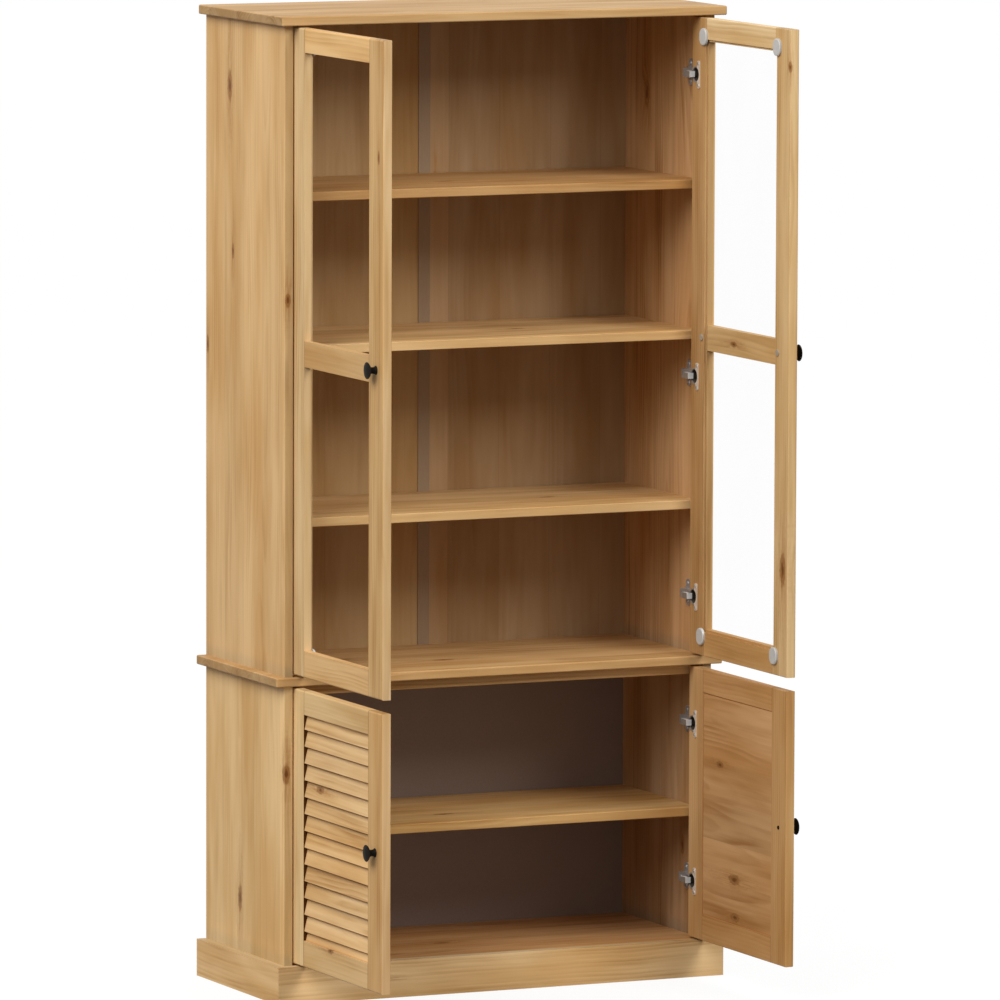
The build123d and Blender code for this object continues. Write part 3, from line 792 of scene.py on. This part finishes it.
def screws(name, body, material, radius, places):
    """Copies of one screw, each turned by chance, joined as one piece of a body."""
    chance = random.Random(name)
    turns = []
    for x, y, z in places:
        facing = Vector((-1.0 if x > 0 else 1.0, 0.0, 0.0))
        inward = facing.to_track_quat("Z", "Y").to_matrix().to_4x4()
        spin = Matrix.Rotation(chance.uniform(0.0, math.pi), 4, "Z")
        turns.append(Matrix.Translation((x, y, z)) @ inward @ spin)
    joined_copies(name, body, material, screw_head(radius), turns)


def joined_copies(name, body, material, master, turns):
    """Copies of one piece, each with its own mesh and place, joined as one piece of a body."""
    copies = []
    for turn in turns:
        copy = bpy.data.objects.new(name, master.data.copy())
        bpy.context.scene.collection.objects.link(copy)
        copy.data.transform(turn)
        if turn.is_negative:
            copy.data.flip_normals()
        copies.append(copy)
    bpy.data.objects.remove(master)
    bpy.ops.object.select_all(action="DESELECT")
    for copy in copies:
        copy.select_set(True)
    piece = copies[0]
    bpy.context.view_layer.objects.active = piece
    if len(copies) > 1:
        bpy.ops.object.join()
    piece.name = name
    piece.data.materials.clear()
    piece.data.materials.append(material)
    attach(piece, body)


def block_between(x_range, y_range, z_range):
    """A plain block between pairs of limits, with its own mesh at the origin."""
    limits = (x_range, y_range, z_range)
    bpy.ops.object.select_all(action="DESELECT")
    bpy.ops.mesh.primitive_cube_add(size=1.0, location=[(low + high) / 2 for low, high in limits])
    block = bpy.context.object
    block.scale = [high - low for low, high in limits]
    bpy.ops.object.transform_apply(location=True, rotation=True, scale=True)
    return block


def apply_modifier(piece, modifier):
    with bpy.context.temp_override(object=piece, active_object=piece):
        bpy.ops.object.modifier_apply(modifier=modifier.name)


def hook_cover():
    """The rounded cover on the hook of one left-hand hinge arm, at height nought."""
    height = (-COVER_HALF_HEIGHT, COVER_HALF_HEIGHT)
    cover = block_between(COVER_X, COVER_Y, height)
    lip = block_between(LIP_X, LIP_Y, height)
    union = cover.modifiers.new("lip", "BOOLEAN")
    union.operation = "UNION"
    union.solver = "EXACT"
    union.object = lip
    apply_modifier(cover, union)
    bpy.data.objects.remove(lip)
    rounding = cover.modifiers.new("rounding", "BEVEL")
    rounding.width = COVER_ROUND
    rounding.segments = 2
    apply_modifier(cover, rounding)
    return cover


# Hook covers with a painted highlight on their fronts and painted shade on their sides
def add_hook_covers(bright):
    mirror = Matrix.Scale(-1.0, 4, (1.0, 0.0, 0.0))
    lifts = [Matrix.Translation((0.0, 0.0, level)) for level in UPPER_HINGES + LOWER_HINGES]
    turns = lifts + [lift @ mirror for lift in lifts]
    joined_copies("hook_covers", "carcass", bright, hook_cover(), turns)


def add_screws(metal, black):
    plate_places = []
    channel_places = []
    for sign in (1, -1):
        for level in UPPER_HINGES + LOWER_HINGES:
            x, y, rise = PLATE_SCREW
            plate_places += [(sign * x, y, level - rise), (sign * x, y, level + rise)]
            channel_places += [(sign * x, y, level) for x, y in CHANNEL_SCREWS]
    screws("plate_screws", "carcass", metal, PLATE_SCREW_RADIUS, plate_places)
    screws("channel_screws", "carcass", metal, CHANNEL_SCREW_RADIUS, channel_places)
    for section, levels in (("upper", UPPER_HINGES), ("lower", LOWER_HINGES)):
        for side, sign in (("left", 1), ("right", -1)):
            door = f"{section}_{side}"
            body = f"{door}_door"
            x, y, rise = FLANGE_SCREW
            places = [(sign * x, y, level + step) for level in levels for step in (-rise, rise)]
            screws(f"{door}_cup_screws", body, metal, FLANGE_SCREW_RADIUS, places)
            if section == "lower":
                x, y, z = KNOB_SCREW
                place = (sign * x, y, z)
                screws(f"{door}_knob_screw", body, black, KNOB_SCREW_RADIUS, [place])


# Stage


def floor_disc():
    bpy.ops.object.select_all(action="DESELECT")
    bpy.ops.mesh.primitive_circle_add(vertices=FLOOR_SIDES, radius=FLOOR_RADIUS, fill_type="NGON")
    floor = bpy.context.object
    floor.name = "floor_disc"
    finish = Finish("pale_floor")
    finish.set(Base_Color=(FLOOR_GREY, FLOOR_GREY, FLOOR_GREY), Roughness=FLOOR_ROUGHNESS)
    glow = finish.add("ShaderNodeEmission", None, {"Color": WHITE, "Strength": FLOOR_GLOW})
    no_glow = finish.add("ShaderNodeEmission", None, {"Color": WHITE, "Strength": 0.0})
    added = finish.add("ShaderNodeMixShader", None, {0: seen_ray(finish), 1: no_glow, 2: glow})
    lit = Value(finish, finish.surface.outputs[0])
    total = finish.add("ShaderNodeAddShader", None, {0: lit, 1: added})
    finish.feed(finish.tree.nodes["Material Output"].inputs["Surface"], total)
    floor.data.materials.append(finish.material)


def seen_ray(tree):
    """1 for rays that show the background to the camera, directly, by gloss or through glass."""
    names = ("Is Camera Ray", "Is Glossy Ray", "Is Transmission Ray")
    camera, glossy, through = [tree.add("ShaderNodeLightPath", outlet=name) for name in names]
    return camera.at_least(glossy).at_least(through)


def white_world():
    world = bpy.data.worlds.new("white_world")
    world.use_nodes = True
    bpy.context.scene.world = world
    sky = NodeTree(world.node_tree)
    background = world.node_tree.nodes["Background"]
    sky.feed(background.inputs["Color"], WHITE)
    sky.feed(background.inputs["Strength"], seen_ray(sky) * (1.0 - SKY) + SKY)


def soft_lamp(name, place, power, size):
    lamp = bpy.data.lights.new(name, "AREA")
    lamp.energy = power
    lamp.size = size
    holder = bpy.data.objects.new(name, lamp)
    bpy.context.scene.collection.objects.link(holder)
    holder.location = place
    aim = Vector(LIGHT_AIM) - Vector(place)
    holder.rotation_euler = aim.to_track_quat("-Z", "Y").to_euler()


def photo_camera():
    data = bpy.data.cameras.new("photo_camera")
    data.sensor_width = SENSOR
    data.lens = CAMERA_LENS
    data.clip_end = CAMERA_REACH
    camera = bpy.data.objects.new("photo_camera", data)
    bpy.context.scene.collection.objects.link(camera)
    turn = Matrix.Rotation(math.radians(-CAMERA_YAW), 4, "Z")
    tilt = Matrix.Rotation(math.radians(90.0 - CAMERA_PITCH), 4, "X")
    roll = Matrix.Rotation(math.radians(CAMERA_ROLL), 4, "Z")
    camera.matrix_world = Matrix.Translation(CAMERA_PLACE) @ turn @ tilt @ roll
    bpy.context.scene.camera = camera


dress_carcass()
dress_doors()
metal, bright, black = dress_fittings()
add_screws(metal, black)
add_hook_covers(bright)
floor_disc()
white_world()
soft_lamp("key_lamp", KEY_PLACE, KEY_POWER, KEY_SIZE)
soft_lamp("front_lamp", FRONT_PLACE, FRONT_POWER, FRONT_SIZE)
photo_camera()
bpy.context.scene.view_settings.view_transform = "Standard"
